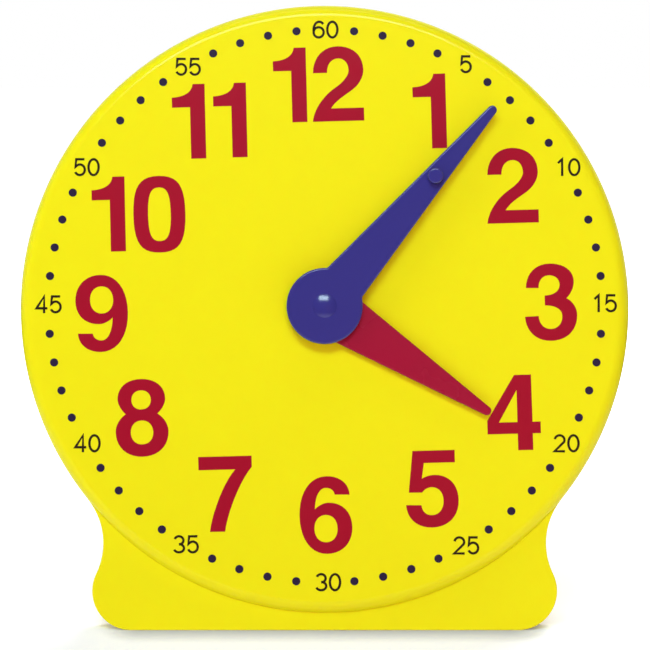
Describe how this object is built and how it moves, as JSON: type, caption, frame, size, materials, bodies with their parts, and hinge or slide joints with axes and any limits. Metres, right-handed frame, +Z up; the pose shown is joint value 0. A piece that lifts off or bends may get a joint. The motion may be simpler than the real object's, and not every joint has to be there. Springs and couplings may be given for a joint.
{
  "type": "geared teaching clock",
  "caption": "Round demonstration clock on a lobed base, with a geared hour and minute hand, a finger peg and a fold-out stand leg.",
  "frame": {"origin": "on the table, under the middle of the clock's box, with the stand leg open", "axes": "+Z up; the dial faces -Y and leans back by 9 degrees; +X to the right as the dial is read"},
  "size_m": [0.334, 0.0828, 0.338],
  "materials": {
    "yellow_case": "moulded ABS, smooth and softly glossy",
    "blue_hand": "moulded ABS, glossy",
    "red_hand": "moulded ABS, smooth",
    "white_gear": "moulded acetal, satin",
    "black_bridge": "moulded nylon, matt",
    "steel": "zinc-plated steel"
  },
  "bodies": {
    "case": {"front_case": "yellow_case", "rear_cover": "yellow_case", "gear_bridge": "black_bridge", "intermediate_stud": "steel", "dial_washer": "white_gear", "wave_washer": "steel", "hinge_pin": "steel", "bridge_screw_1": "steel", "bridge_screw_2": "steel", "bridge_screw_3": "steel", "cover_screw_1": "steel", "cover_screw_2": "steel", "cover_screw_3": "steel", "cover_screw_4": "steel", "cover_screw_5": "steel", "cover_screw_6": "steel"},
    "minute_train": {"minute_hand": "blue_hand", "minute_hand_peg": "blue_hand", "hub_cap": "blue_hand", "minute_arbor": "steel", "cannon_pinion": "white_gear", "arbor_clip": "steel", "hand_washer": "white_gear"},
    "intermediate_train": {"intermediate_wheel": "white_gear"},
    "hour_train": {"hour_hand": "red_hand", "hour_wheel": "white_gear"},
    "leg": {"stand_leg": "yellow_case"}
  },
  "joints": [
    {"name": "minute_turn", "type": "hinge", "parent": "case", "child": "minute_train", "pos_m": [0, -0.01637, 0.17462], "axis": [0, 0.9877, -0.1564], "continuous": true},
    {"name": "intermediate_turn", "type": "hinge", "parent": "case", "child": "intermediate_train", "pos_m": [0, -0.02106, 0.14499], "axis": [0, 0.9877, -0.1564], "continuous": true},
    {"name": "hour_turn", "type": "hinge", "parent": "case", "child": "hour_train", "pos_m": [0, -0.01637, 0.17462], "axis": [0, 0.9877, -0.1564], "continuous": true},
    {"name": "leg_fold", "type": "hinge", "parent": "case", "child": "leg", "pos_m": [0, 0.01641, 0.19171], "axis": [1, 0, 0], "range_deg": [-16.5, 0]}
  ],
  "couplings": [
    {"joint": "intermediate_turn", "follows": "minute_turn", "ratio": -0.33333},
    {"joint": "hour_turn", "follows": "minute_turn", "ratio": 0.083333}
  ]
}
